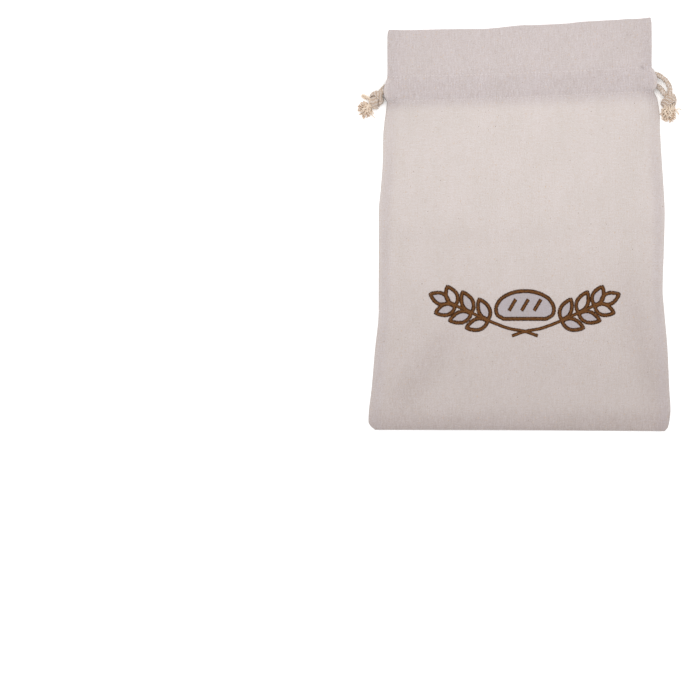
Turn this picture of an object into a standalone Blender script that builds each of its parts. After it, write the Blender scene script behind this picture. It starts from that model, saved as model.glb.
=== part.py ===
"""Linen drawstring bread bag, empty and lying on its back.

Metres, +Z up. +X is to the right of the face, +Y runs from the bottom fold to the mouth.
The origin is under the middle of the cloth, on the surface that the bag lies on.

The bag is one length of cloth, folded at the bottom and sewn up both sides, with its
seam allowances pressed inwards. A deep hem round the mouth holds a channel, open in a slit
at each side, for two drawcords. Each cord goes once round the channel and leaves it on its
own side, where its two ends are knotted together and frayed out below the knot.
"""

import math
from collections import namedtuple

import bmesh
import bpy
from mathutils import Matrix, Vector

MM = 0.001

# Cloth, in metres
PLY = 1.0 * MM  # one layer of the cloth
TUNNEL = 5.8 * MM  # height of the drawstring channel between its two layers
# Thickness of one side of the bag, from its outer face to the bag's inside
WALLS = {"single": PLY, "hem": 2 * PLY, "channel": PLY + TUNNEL + PLY}
SEAM_GAP = 0.8 * MM  # height of the bag's inside where it ends at the side seams
EDGE_ROLL = 2.0 * MM  # how far in from the edge the cloth reaches its full height
CROWN_POWER = 3.2  # a high power keeps the face flat and drops it close to the seams
COLUMNS = 18  # across the bag's inside
SLIT_REACH = 8.0 * MM  # the channel's cutter passes the side edges by this much
FACING_INSET = 20.0 * MM  # the hem's inner layer ends this far short of the side edges
STITCHED = 0.15  # share of the way from a stitch line at which the channel begins

# Cords, in metres
CORD_DIAMETER = 5.0 * MM
CORD_STEP = 11.0 * MM  # between the points of a cord's line

# One row for each section of the bag, from the bottom fold to the mouth, in millimetres.
# edge and crown are the heights of the upper face at the side edges and in the middle.
# seam is the width of the side seam's pressed allowances.
Section = namedtuple(
    "Section", "name wall left_x left_y middle_y right_x right_y edge crown seam"
)
SECTIONS = [
    #        name            wall       left x  left y  mid y   right x right y edge  crown seam
    Section("bottom fold",   "single",  -145.1, -205.4, -205.7, 146.0, -207.0, 1.3, 1.5, 13.0),
    Section("fold roll",     "single",  -149.2, -201.8, -202.0, 149.9, -202.4, 2.2, 4.2, 13.0),
    Section("corner",        "single",  -151.4, -196.5, -195.6, 151.2, -193.8, 2.2, 5.6, 13.0),
    Section("above corner",  "single",  -150.7, -188.0, -186.5, 151.8, -185.0, 2.2, 7.2, 13.0),
    Section("foot",          "single",  -147.6, -165.0, -165.0, 150.1, -165.0, 2.2, 9.6, 13.0),
    Section("lower face",    "single",  -144.1, -125.0, -125.0, 148.3, -125.0, 2.2, 12.6, 13.0),
    Section("drawn in",      "single",  -140.4, -85.0, -85.0, 144.9, -85.0, 2.2, 14.4, 13.0),
    Section("hollow",        "single",  -140.4, -65.0, -65.0, 143.4, -65.0, 2.2, 15.0, 13.0),
    Section("middle",        "single",  -140.2, -25.0, -25.0, 144.6, -25.0, 2.2, 15.8, 13.0),
    Section("swell",         "single",  -140.3, 12.0, 12.0, 145.5, 12.0, 2.2, 16.4, 13.0),
    Section("upper face",    "single",  -138.2, 37.0, 37.0, 144.4, 37.0, 2.2, 16.8, 13.0),
    Section("shoulder",      "single",  -136.6, 62.0, 62.0, 143.1, 62.0, 2.3, 17.2, 13.0),
    Section("neck",          "single",  -136.1, 90.0, 91.0, 141.8, 92.0, 2.5, 17.6, 13.0),
    Section("below stitch",  "single",  -133.9, 118.0, 122.5, 139.6, 127.0, 3.2, 18.0, 14.0),
    Section("lower stitch",  "hem",     -132.8, 123.2, 128.5, 135.4, 133.8, 5.0, 18.0, 16.0),
    Section("channel foot",  "channel", -134.2, 125.6, 130.8, 137.6, 136.0, 14.0, 20.6, 22.0),
    Section("channel",       "channel", -135.5, 135.6, 140.7, 139.6, 145.8, 14.0, 20.8, 22.0),
    Section("channel head",  "channel", -133.8, 145.6, 150.6, 136.4, 155.6, 14.0, 20.6, 22.0),
    Section("upper stitch",  "hem",     -131.9, 148.2, 153.0, 132.2, 157.8, 5.0, 18.0, 16.0),
    Section("above stitch",  "hem",     -132.2, 155.0, 159.6, 133.2, 164.2, 4.2, 17.6, 13.0),
    Section("header",        "hem",     -132.4, 176.0, 181.0, 133.2, 186.5, 3.8, 16.6, 13.0),
    Section("below rim",     "hem",     -132.2, 190.5, 194.6, 133.0, 201.4, 3.8, 16.0, 13.0),
    Section("rim",           "hem",     -130.8, 195.2, 199.4, 131.8, 206.8, 3.6, 15.8, 13.0),
]

# The routes of the two drawcords, in millimetres, from the first knotted end to the second
RIGHT_CORD_ROUTE = [
    (150.9, 131.5, 7.2),
    (153.2, 137.6, 7.8),
    (151.6, 144.6, 8.2),
    (146.0, 149.6, 8.5),
    (138.0, 151.5, 8.9),
    (128.0, 151.4, 10.6),
    (118.0, 151.1, 12.3),
    (90.0, 150.1, 15.0),
    (60.0, 149.0, 16.4),
    (30.0, 147.8, 16.8),
    (0.0, 146.7, 16.9),
    (-30.0, 145.6, 16.8),
    (-60.0, 144.4, 16.3),
    (-88.0, 143.4, 14.9),
    (-108.0, 143.2, 13.1),
    (-115.0, 143.1, 12.3),
    (-121.0, 141.8, 11.2),
    (-124.4, 136.4, 8.2),
    (-121.0, 131.0, 5.2),
    (-115.0, 129.5, 4.1),
    (-108.0, 129.9, 3.9),
    (-88.0, 131.3, 3.9),
    (-60.0, 132.4, 3.9),
    (-30.0, 133.6, 3.9),
    (0.0, 134.7, 3.9),
    (30.0, 135.8, 3.9),
    (60.0, 137.0, 3.9),
    (90.0, 138.1, 3.9),
    (118.0, 139.2, 3.9),
    (130.0, 139.7, 4.4),
    (138.2, 138.0, 5.6),
    (145.2, 129.9, 7.0),
]
LEFT_CORD_ROUTE = [
    (-135.6, 133.6, 9.0),
    (-132.4, 132.2, 9.4),
    (-128.0, 130.6, 10.2),
    (-122.0, 129.8, 11.1),
    (-112.0, 130.4, 12.7),
    (-100.0, 130.8, 13.9),
    (-88.0, 131.3, 14.9),
    (-60.0, 132.4, 16.3),
    (-30.0, 133.6, 16.8),
    (0.0, 134.7, 16.9),
    (30.0, 135.8, 16.8),
    (60.0, 137.0, 16.4),
    (90.0, 138.1, 15.0),
    (111.0, 138.6, 13.2),
    (118.5, 138.4, 12.3),
    (124.6, 140.0, 11.0),
    (128.0, 145.2, 8.2),
    (124.6, 150.5, 5.3),
    (118.5, 151.9, 4.1),
    (111.0, 151.2, 3.9),
    (90.0, 150.1, 3.9),
    (60.0, 149.0, 3.9),
    (30.0, 147.8, 3.9),
    (0.0, 146.7, 3.9),
    (-30.0, 145.6, 3.9),
    (-60.0, 144.4, 3.9),
    (-88.0, 143.3, 3.9),
    (-112.0, 142.2, 3.9),
    (-124.0, 141.6, 4.2),
    (-133.0, 141.4, 4.8),
    (-138.9, 139.6, 5.2),
    (-141.0, 135.0, 5.6),
]

# The knots. heading is the way that the frayed ends point, in degrees from +X. They fan out
# from fan_low to fan_high degrees beside it. along, across and up are the core's half sizes
# in millimetres.
Knot = namedtuple("Knot", "name centre heading fan_low fan_high along across up")
KNOTS = [
    Knot("knot_right", (150.4, 124.4, 6.9), -90.0, -17.0, 26.0, 6.2, 6.0, 6.2),
    Knot("knot_left", (-141.6, 127.2, 6.9), 217.0, -30.0, 30.0, 6.8, 5.8, 6.0),
]
# The turns of cord round a knot: how far along the heading each one sits, its radius, and
# how far its plane is tipped about the vertical and about the heading's crosswise line.
Wrap = namedtuple("Wrap", "along radius turn tip")
WRAPS = [
    Wrap(-2.2, 3.9, 12.0, 10.0),
    Wrap(0.4, 4.3, -38.0, -12.0),
    Wrap(2.6, 3.7, 8.0, -8.0),
]
WRAP_RADIUS = 2.5 * MM
# The frayed ends, a row for each layer of yarns: height at the knot and at the tips, reach
# from the knot's centre, the share of the fan that it fills and the number of yarns.
Layer = namedtuple("Layer", "root_height tip_height reach fan_share yarns")
LAYERS = [
    Layer(3.0, 0.9, 22.0, 1.0, 8),
    Layer(5.4, 3.0, 20.5, 0.85, 7),
    Layer(7.6, 5.0, 18.5, 0.6, 5),
]
YARN_ROOT = 1.15 * MM  # half width of a yarn where it leaves the knot
YARN_TIP = 0.75 * MM
UNEVEN = 1.6 * MM  # how much the yarns differ in length


def clear_scene():
    for obj in list(bpy.data.objects):
        bpy.data.objects.remove(obj, do_unlink=True)


def material(name, colour, roughness):
    made = bpy.data.materials.new(name)
    made.use_nodes = True
    shader = made.node_tree.nodes["Principled BSDF"]
    shader.inputs["Base Color"].default_value = (*colour, 1.0)
    shader.inputs["Roughness"].default_value = roughness
    shader.inputs["Metallic"].default_value = 0.0
    return made


def mesh_object(name, points, faces):
    """A new object of these points and faces, with its faces turned outwards."""
    mesh = bpy.data.meshes.new(name)
    mesh.from_pydata([tuple(p) for p in points], [], faces)
    shape = bmesh.new()
    shape.from_mesh(mesh)
    bmesh.ops.recalc_face_normals(shape, faces=shape.faces)
    shape.to_mesh(mesh)
    shape.free()
    obj = bpy.data.objects.new(name, mesh)
    bpy.context.scene.collection.objects.link(obj)
    return obj


def helper(obj):
    """Marks an object as a cutter or a guide, which is no part of the bag."""
    obj.hide_render = True
    obj.display_type = "WIRE"
    return obj


# Bag cloth


def in_metres(section):
    """The section with its sizes in metres and its wall as a thickness."""
    sizes = (MM * value for value in section[2:])
    return Section(section.name, WALLS[section.wall], *sizes)


def blend(a, b, share):
    """The section that lies this share of the way from a to b."""
    return Section(a.name, *(p + (q - p) * share for p, q in zip(a[1:], b[1:])))


def spot(section, x):
    """The y of a section's line at x: a parabola through its left, middle and right."""
    across = (2 * x - section.left_x - section.right_x) / (
        section.right_x - section.left_x
    )
    left, middle, right = section.left_y, section.middle_y, section.right_y
    bow = (left + right) / 2 - middle
    return middle + (right - left) / 2 * across + bow * across**2


def seam_height(section):
    return 2 * section.wall + SEAM_GAP


def inside_columns(section):
    """(x, upper face's height) across the bag's inside, from seam to seam."""
    low, high = section.left_x + section.seam, section.right_x - section.seam
    rise = section.crown - seam_height(section)
    for i in range(COLUMNS + 1):
        across = 2 * i / COLUMNS - 1
        height = seam_height(section) + rise * (1 - abs(across) ** CROWN_POWER)
        yield low + (high - low) * (across + 1) / 2, height


def outer_columns(section):
    """(x, lower face's height, upper face's height) from side edge to side edge."""
    edge, seam = section.edge, seam_height(section)
    middle = [(x, 0.0, height) for x, height in inside_columns(section)]
    left = [
        (section.left_x, 0.36 * edge, 0.68 * edge),
        (section.left_x + EDGE_ROLL, 0.0, edge),
        (section.left_x + section.seam / 2, 0.0, (edge + seam) / 2),
    ]
    right = [
        (section.right_x - (x - section.left_x), low, high) for x, low, high in left
    ]
    return left + middle + right[::-1]


def ring(section, columns):
    """A closed loop of points: along the upper face and back along the lower one."""
    upper = [(x, spot(section, x), high) for x, low, high in columns]
    lower = [(x, spot(section, x), low) for x, low, high in columns]
    return upper + lower[::-1]


def skin(rings, first):
    """Faces between rings of equal length whose points are numbered from first."""
    count = len(rings[0])
    return [
        (
            first + row * count + i,
            first + row * count + (i + 1) % count,
            first + (row + 1) * count + (i + 1) % count,
            first + (row + 1) * count + i,
        )
        for row in range(len(rings) - 1)
        for i in range(count)
    ]


def end_strip(count, first):
    """Faces that close a ring's end: each joins two points above to the two below them."""
    half = count // 2
    return [
        (first + i, first + i + 1, first + count - 2 - i, first + count - 1 - i)
        for i in range(half - 1)
    ]


def band(outer, inner, outer_first, inner_first):
    """Faces between two rings of different lengths, each split into an upper and a lower run.

    The rings' runs match in their middle columns, and the outer ring's spare columns at each
    end are joined to the inner ring's end column.
    """
    spare = (len(outer) - len(inner)) // 4
    n_out, n_in = len(outer) // 2, len(inner) // 2
    faces = []
    for side in range(2):
        o, i = outer_first + side * n_out, inner_first + side * n_in
        for k in range(n_in - 1):
            faces.append((o + spare + k, o + spare + k + 1, i + k + 1, i + k))
        for k in range(spare):
            faces.append((o + k, o + k + 1, i))
            faces.append((o + spare + n_in - 1 + k, o + spare + n_in + k, i + n_in - 1))
    right_outer, left_outer = outer_first + n_out, outer_first
    right_inner, left_inner = inner_first + n_in, inner_first
    faces.append((right_outer - 1, right_outer, right_inner, right_inner - 1))
    faces.append(
        (
            left_outer + len(outer) - 1,
            left_outer,
            left_inner,
            left_inner + len(inner) - 1,
        )
    )
    return faces


def bag_body(sections):
    """The cloth as a hollow shell, open at the mouth, with the channel still solid."""
    outer = [ring(s, outer_columns(s)) for s in sections]
    inner = [
        ring(s, [(x, s.wall, high - s.wall) for x, high in inside_columns(s)])
        for s in sections[1:]
    ]
    points = [p for loop in outer + inner for p in loop]
    n_out, n_in = len(outer[0]), len(inner[0])
    inner_first = n_out * len(outer)
    faces = skin(outer, 0) + skin(inner, inner_first)
    faces += end_strip(n_out, 0) + end_strip(n_in, inner_first)
    faces += band(
        outer[-1], inner[-1], n_out * (len(outer) - 1), inner_first + n_in * (len(inner) - 1)
    )
    return mesh_object("bag_cloth", points, faces)


def channel_cutter(sections):
    """A closed band inside the hem, all round the bag, that passes out through both sides."""
    named = {s.name: s for s in sections}
    rows = [
        blend(named["lower stitch"], named["channel foot"], STITCHED),
        named["channel foot"],
        named["channel"],
        named["channel head"],
        blend(named["upper stitch"], named["channel head"], STITCHED),
    ]
    outer, inner = [], []
    for s in rows:
        middle = [(x, PLY, high - PLY) for x, high in inside_columns(s)]
        left = (s.left_x - SLIT_REACH, PLY, s.edge - 2 * PLY)
        left_edge = (s.left_x + EDGE_ROLL, PLY, s.edge - PLY)
        right = (s.right_x + SLIT_REACH, PLY, s.edge - 2 * PLY)
        right_edge = (s.right_x - EDGE_ROLL, PLY, s.edge - PLY)
        outer.append(ring(s, [left, left_edge, *middle, right_edge, right]))
        facing = [
            (x, s.wall - PLY, high - s.wall + PLY) for x, high in inside_columns(s)
        ]
        inset = min(FACING_INSET, s.seam - PLY)
        facing[0] = (s.left_x + inset, *facing[0][1:])
        facing[-1] = (s.right_x - inset, *facing[-1][1:])
        inner.append(ring(s, facing))
    points = [p for loop in outer + inner for p in loop]
    n_out, n_in, last = len(outer[0]), len(inner[0]), len(rows) - 1
    inner_first = n_out * len(outer)
    faces = skin(outer, 0) + skin(inner, inner_first)
    faces += band(outer[0], inner[0], 0, inner_first)
    faces += band(outer[-1], inner[-1], n_out * last, inner_first + n_in * last)
    return helper(mesh_object("channel_cutter", points, faces))


def make_bag(linen):
    sections = [in_metres(s) for s in SECTIONS]
    bag = bag_body(sections)
    cut = bag.modifiers.new("channel", "BOOLEAN")
    cut.operation = "DIFFERENCE"
    cut.solver = "EXACT"
    cut.object = channel_cutter(sections)
    bag.data.materials.append(linen)
    return bag


# Drawcords


def smooth_route(route, step):
    """Points about a step apart on a smooth curve through the route's points."""
    knots = [Vector(p) * MM for p in route]
    ends = [2 * knots[0] - knots[1], *knots, 2 * knots[-1] - knots[-2]]
    found = [knots[0]]
    for a, b, c, d in zip(ends, ends[1:], ends[2:], ends[3:]):
        pieces = max(1, round((c - b).length / step))
        for i in range(1, pieces + 1):
            t = i / pieces
            found.append(
                0.5
                * (
                    2 * b
                    + (c - a) * t
                    + (2 * a - 5 * b + 4 * c - d) * t**2
                    + (3 * b - a - 3 * c + d) * t**3
                )
            )
    return found


def make_cord(name, route, cotton):
    curve = bpy.data.curves.new(name, "CURVE")
    curve.dimensions = "3D"
    curve.bevel_depth = CORD_DIAMETER / 2
    curve.bevel_resolution = 2
    curve.use_fill_caps = True
    line = curve.splines.new("POLY")
    points = smooth_route(route, CORD_STEP)
    line.points.add(len(points) - 1)
    for place, point in zip(line.points, points):
        place.co = (*point, 1.0)
    cord = bpy.data.objects.new(name, curve)
    bpy.context.scene.collection.objects.link(cord)
    curve.materials.append(cotton)
    return cord


# Knots and their frayed ends


def knot_core(knot):
    shape = bmesh.new()
    sizes = Matrix.Diagonal((knot.along * MM, knot.across * MM, knot.up * MM, 1.0))
    bmesh.ops.create_uvsphere(shape, u_segments=14, v_segments=9, radius=1.0, matrix=sizes)
    mesh = bpy.data.meshes.new(knot.name)
    shape.to_mesh(mesh)
    shape.free()
    core = bpy.data.objects.new(knot.name, mesh)
    bpy.context.scene.collection.objects.link(core)
    return core


def wrap_ring(name, wrap):
    """One turn of cord: a ring whose axis lies near the knot's heading."""
    around, round_cord = 18, 8
    turned = (
        Matrix.Translation((wrap.along * MM, 0.0, 0.0))
        @ Matrix.Rotation(math.radians(wrap.turn), 4, "Z")
        @ Matrix.Rotation(math.radians(wrap.tip), 4, "Y")
    )
    points, faces = [], []
    for i in range(around):
        a = math.tau * i / around
        for j in range(round_cord):
            b = math.tau * j / round_cord
            out = wrap.radius * MM + WRAP_RADIUS * math.cos(b)
            points.append(
                turned
                @ Vector((WRAP_RADIUS * math.sin(b), out * math.cos(a), out * math.sin(a)))
            )
            faces.append(
                (
                    i * round_cord + j,
                    i * round_cord + (j + 1) % round_cord,
                    (i + 1) % around * round_cord + (j + 1) % round_cord,
                    (i + 1) % around * round_cord + j,
                )
            )
    return mesh_object(name, points, faces)


def yarn(name, path):
    """One frayed yarn: a four-sided bar that tapers along its path."""
    points, faces = [], []
    for i, place in enumerate(path):
        half = YARN_ROOT + (YARN_TIP - YARN_ROOT) * i / (len(path) - 1)
        ahead = (path[min(i + 1, len(path) - 1)] - path[max(i - 1, 0)]).normalized()
        side = Vector((-ahead.y, ahead.x, 0.0)).normalized() * half
        up = Vector((0.0, 0.0, half))
        points += [place - side - up, place + side - up, place + side + up, place - side + up]
    last = 4 * (len(path) - 1)
    for first in range(0, last, 4):
        for j in range(4):
            k = (j + 1) % 4
            faces.append((first + j, first + k, first + 4 + k, first + 4 + j))
    faces += [(3, 2, 1, 0), (last, last + 1, last + 2, last + 3)]
    return mesh_object(name, points, faces)


def yarn_paths(knot):
    """The paths of the frayed yarns, in the knot's own frame, heading along +X."""
    floor = -knot.centre[2] * MM
    for depth, layer in enumerate(LAYERS):
        for i in range(layer.yarns):
            across = 2 * i / (layer.yarns - 1) - 1
            middle = (knot.fan_high + knot.fan_low) / 2
            half = (knot.fan_high - knot.fan_low) / 2 * layer.fan_share
            angle = math.radians(middle + half * across)
            reach = layer.reach * MM + UNEVEN * math.sin(2.3 * i + 1.7 * depth)
            sway = UNEVEN * math.sin(4.1 * i + depth)
            out = Vector((math.cos(angle), math.sin(angle), 0.0))
            side = Vector((-out.y, out.x, 0.0))
            path = []
            for share in (0.0, 0.35, 0.7, 1.0):
                height = layer.root_height + (layer.tip_height - layer.root_height) * min(
                    1.0, share / 0.7
                )
                spread = 3.0 * MM + (reach - 3.0 * MM) * share
                bend = side * sway * math.sin(math.pi * share)
                path.append(out * spread + bend + Vector((0, 0, floor + height * MM)))
            yield path


def make_knot(knot, cotton):
    core = knot_core(knot)
    placed = Matrix.Translation(Vector(knot.centre) * MM) @ Matrix.Rotation(
        math.radians(knot.heading), 4, "Z"
    )
    parts = bpy.data.collections.new(knot.name + "_parts")
    bpy.context.scene.collection.children.link(parts)
    shapes = [wrap_ring(f"{knot.name}_wrap_{i}", wrap) for i, wrap in enumerate(WRAPS)]
    shapes += [
        yarn(f"{knot.name}_yarn_{i}", path) for i, path in enumerate(yarn_paths(knot))
    ]
    for shape in shapes:
        bpy.context.scene.collection.objects.unlink(shape)
        parts.objects.link(helper(shape))
        shape.matrix_world = placed
    parts.hide_render = True
    core.matrix_world = placed
    join = core.modifiers.new("turns and yarns", "BOOLEAN")
    join.operation = "UNION"
    join.solver = "EXACT"
    join.operand_type = "COLLECTION"
    join.collection = parts
    core.data.materials.append(cotton)
    return core


def main():
    clear_scene()
    linen = material("unbleached linen", (0.66, 0.61, 0.58), 0.95)
    cotton = material("natural cotton cord", (0.74, 0.62, 0.47), 0.9)
    make_bag(linen)
    make_cord("cord_right", RIGHT_CORD_ROUTE, cotton)
    make_cord("cord_left", LEFT_CORD_ROUTE, cotton)
    for knot in KNOTS:
        make_knot(knot, cotton)


main()
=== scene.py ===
"""Looks of a linen drawstring bread bag, empty and lying on its back.

The bag is one length of unbleached linen, folded at the bottom and sewn up both sides. A
deep hem at the mouth holds a channel for two plaited cotton drawcords, one knotted and
frayed out at each side. Two ears of wheat and a plain oval loaf are embroidered low on the
face.
"""

import math
import random

import bpy
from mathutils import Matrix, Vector, noise


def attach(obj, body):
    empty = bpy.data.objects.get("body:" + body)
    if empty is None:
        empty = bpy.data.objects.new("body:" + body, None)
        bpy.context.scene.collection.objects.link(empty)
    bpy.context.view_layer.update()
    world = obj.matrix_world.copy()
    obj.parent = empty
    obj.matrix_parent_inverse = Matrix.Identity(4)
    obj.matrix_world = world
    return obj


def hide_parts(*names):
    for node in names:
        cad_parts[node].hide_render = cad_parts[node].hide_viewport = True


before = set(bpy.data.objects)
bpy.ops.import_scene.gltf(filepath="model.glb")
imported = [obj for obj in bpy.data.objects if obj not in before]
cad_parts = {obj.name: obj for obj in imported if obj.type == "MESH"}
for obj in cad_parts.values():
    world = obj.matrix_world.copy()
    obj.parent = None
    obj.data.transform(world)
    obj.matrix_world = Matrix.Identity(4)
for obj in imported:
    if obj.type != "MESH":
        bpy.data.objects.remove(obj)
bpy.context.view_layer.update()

# Table, light and camera
# The bag lies on a pale table and is looked at from straight above. Soft daylight comes
# from beyond the mouth, as from a wide window, and the room's white walls fill the rest.


def linear(colour):
    """An sRGB hex colour as linear red, green, blue and alpha."""
    parts = [int(colour[i : i + 2], 16) / 255 for i in (1, 3, 5)]
    return (*(p / 12.92 if p <= 0.04045 else ((p + 0.055) / 1.055) ** 2.4 for p in parts), 1.0)


def add(tree, kind, settings=(), inputs=(), links=()):
    """Adds a node to a tree, with its settings, its sockets' values and what feeds them."""
    node = tree.nodes.new("ShaderNode" + kind)
    for name, value in dict(settings).items():
        setattr(node, name, value)
    for name, value in dict(inputs).items():
        node.inputs[name].default_value = value
    for name, source in dict(links).items():
        tree.links.new(source, node.inputs[name])
    return node


def new_material(name, inputs):
    """A material and its shader, with these values on the shader's own sockets."""
    material = bpy.data.materials.new(name)
    material.use_nodes = True
    shader = material.node_tree.nodes["Principled BSDF"]
    for socket, value in inputs.items():
        shader.inputs[socket].default_value = value
    return material, material.node_tree, shader


# Matt white laminate: nearly all light comes back, with no gloss to mirror the window. The
# slight emission keeps it pure white and the bag's shadow faint, as under strong soft light.
laminate, _, _ = new_material(
    "matt white laminate",
    {
        "Base Color": linear("#FBFBFA"),
        "Roughness": 0.85,
        "Specular IOR Level": 0.2,
        "Emission Color": linear("#FFFFFF"),
        "Emission Strength": 0.15,
    },
)
bpy.ops.mesh.primitive_plane_add(size=6, location=(0, 0, 0))
table_top = bpy.context.object
table_top.name = "table_top"
table_top.data.materials.append(laminate)

room = bpy.data.worlds.new("white room")
room.use_nodes = True
room.node_tree.nodes["Background"].inputs["Color"].default_value = linear("#FDFDFF")
room.node_tree.nodes["Background"].inputs["Strength"].default_value = 0.93
bpy.context.scene.world = room

window = bpy.data.lights.new("window", "AREA")
window.shape = "RECTANGLE"
window.size, window.size_y = 0.9, 0.45
window.energy = 1.6
window.spread = math.radians(110)
window.color = (1.0, 0.99, 0.98)
window_lamp = bpy.data.objects.new("window", window)
window_lamp.location = (-0.02, 0.34, 0.88)
window_lamp.rotation_euler = (
    (Vector((0.0, 0.11, 0)) - window_lamp.location).to_track_quat("-Z", "Y").to_euler()
)
bpy.context.scene.collection.objects.link(window_lamp)

FOCAL_LENGTH, SENSOR = 150, 36
VIEW_WIDTH = 0.700  # metres of the table that the view spans
VIEW_MIDDLE = (-0.1691, -0.1250)
lens = bpy.data.cameras.new("camera")
lens.lens, lens.sensor_width = FOCAL_LENGTH, SENSOR
camera = bpy.data.objects.new("camera", lens)
camera.location = (*VIEW_MIDDLE, VIEW_WIDTH * FOCAL_LENGTH / SENSOR)
bpy.context.scene.collection.objects.link(camera)
bpy.context.scene.camera = camera
bpy.context.scene.view_settings.view_transform = "Standard"

# Drawcords
# Two soft cotton cords, each plaited from eight strands round a core. Each runs once round
# the channel and comes out on its own side, where its two ends meet in a knot.

MM = 0.001
CORD_DIAMETER = 5 * MM
CURVE_STEP = 0.9 * MM  # between the points on a cord's smooth curve
FINE_REACH = 45 * MM  # from a cord's ends, which can be seen, its plait is modelled finer
FINE_STEP, PLAIN_STEP = 0.8 * MM, 1.7 * MM
# Routes from the knot, through the face's layer of the channel and back through the other
RIGHT_CORD_ROUTE = [
    (149.0, 127.0, 6.4), (149.2, 130.6, 7.4), (149.9, 135.0, 7.9), (148.0, 140.6, 8.2),
    (143.8, 145.4, 8.4), (137.6, 149.2, 8.9), (128.0, 150.8, 10.6), (118.0, 150.9, 12.3),
    (90.0, 149.0, 15.0), (60.0, 147.2, 16.5), (30.0, 145.8, 17.0), (0.0, 144.6, 17.2),
    (-30.0, 143.7, 16.9), (-60.0, 143.0, 16.3), (-88.0, 142.6, 14.9), (-108.0, 142.8, 13.1),
    (-115.0, 142.8, 12.3), (-121.0, 141.8, 11.2), (-124.4, 136.4, 8.2), (-121.0, 131.0, 5.2),
    (-115.0, 129.5, 4.1), (-108.0, 129.9, 3.9), (-88.0, 131.3, 3.9), (-60.0, 132.4, 3.9),
    (-30.0, 133.6, 3.9), (0.0, 134.7, 3.9), (30.0, 135.8, 3.9), (60.0, 137.0, 3.9),
    (90.0, 138.1, 3.9), (118.0, 139.2, 3.9), (130.0, 139.7, 4.4), (138.2, 138.0, 5.6),
    (144.6, 130.6, 7.0), (148.0, 126.4, 6.2),
]
LEFT_CORD_ROUTE = [
    (-138.6, 130.4, 7.2), (-135.6, 132.9, 8.8), (-132.4, 132.2, 9.4), (-128.0, 130.6, 10.2),
    (-122.0, 129.8, 11.1), (-112.0, 130.4, 12.7), (-100.0, 130.8, 13.9), (-88.0, 131.3, 14.9),
    (-60.0, 132.4, 16.3), (-30.0, 133.6, 16.9), (0.0, 134.7, 17.2), (30.0, 135.8, 17.0),
    (60.0, 137.0, 16.5), (90.0, 138.1, 15.0), (111.0, 138.6, 13.2), (118.5, 138.4, 12.3),
    (124.6, 140.0, 11.0), (128.0, 145.2, 8.2), (124.6, 150.4, 5.3), (118.5, 151.4, 4.1),
    (111.0, 150.5, 3.9), (90.0, 148.8, 3.9), (60.0, 147.0, 3.9), (30.0, 145.7, 3.9),
    (0.0, 144.5, 3.9), (-30.0, 143.6, 3.9), (-60.0, 142.8, 3.9), (-88.0, 142.3, 3.9),
    (-112.0, 141.9, 4.1), (-123.0, 141.2, 4.5), (-130.6, 139.6, 4.8), (-135.6, 136.2, 5.0),
    (-138.6, 132.2, 5.6), (-140.8, 129.0, 5.4),
]


def rise(low, high, value):
    """0 below low, 1 above high and smooth between."""
    t = min(1.0, max(0.0, (value - low) / (high - low)))
    return t * t * (3 - 2 * t)


def smooth_line(route, step):
    """Points about a step apart on a smooth curve through the route's points."""
    knots = [Vector(p) for p in route]
    ends = [2 * knots[0] - knots[1], *knots, 2 * knots[-1] - knots[-2]]
    found = [knots[0]]
    for a, b, c, d in zip(ends, ends[1:], ends[2:], ends[3:]):
        pieces = max(1, math.ceil((c - b).length / step))
        for i in range(1, pieces + 1):
            t = i / pieces
            found.append(
                0.5
                * (
                    2 * b
                    + (c - a) * t
                    + (2 * a - 5 * b + 4 * c - d) * t**2
                    + (3 * b - a - 3 * c + d) * t**3
                )
            )
    return found


def tangents(line):
    """The line's direction at each of its points."""
    return [
        (line[min(i + 1, len(line) - 1)] - line[max(i - 1, 0)]).normalized()
        for i in range(len(line))
    ]


def lifts(line):
    """A direction square to the line at each point, from upwards, turning as little as it can."""
    found, lift = [], Vector((0, 0, 1))
    for along in tangents(line):
        lift = lift - along * lift.dot(along)
        if lift.length < 1e-6:
            lift = along.orthogonal()
        lift.normalize()
        found.append(lift.copy())
    return found


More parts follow.
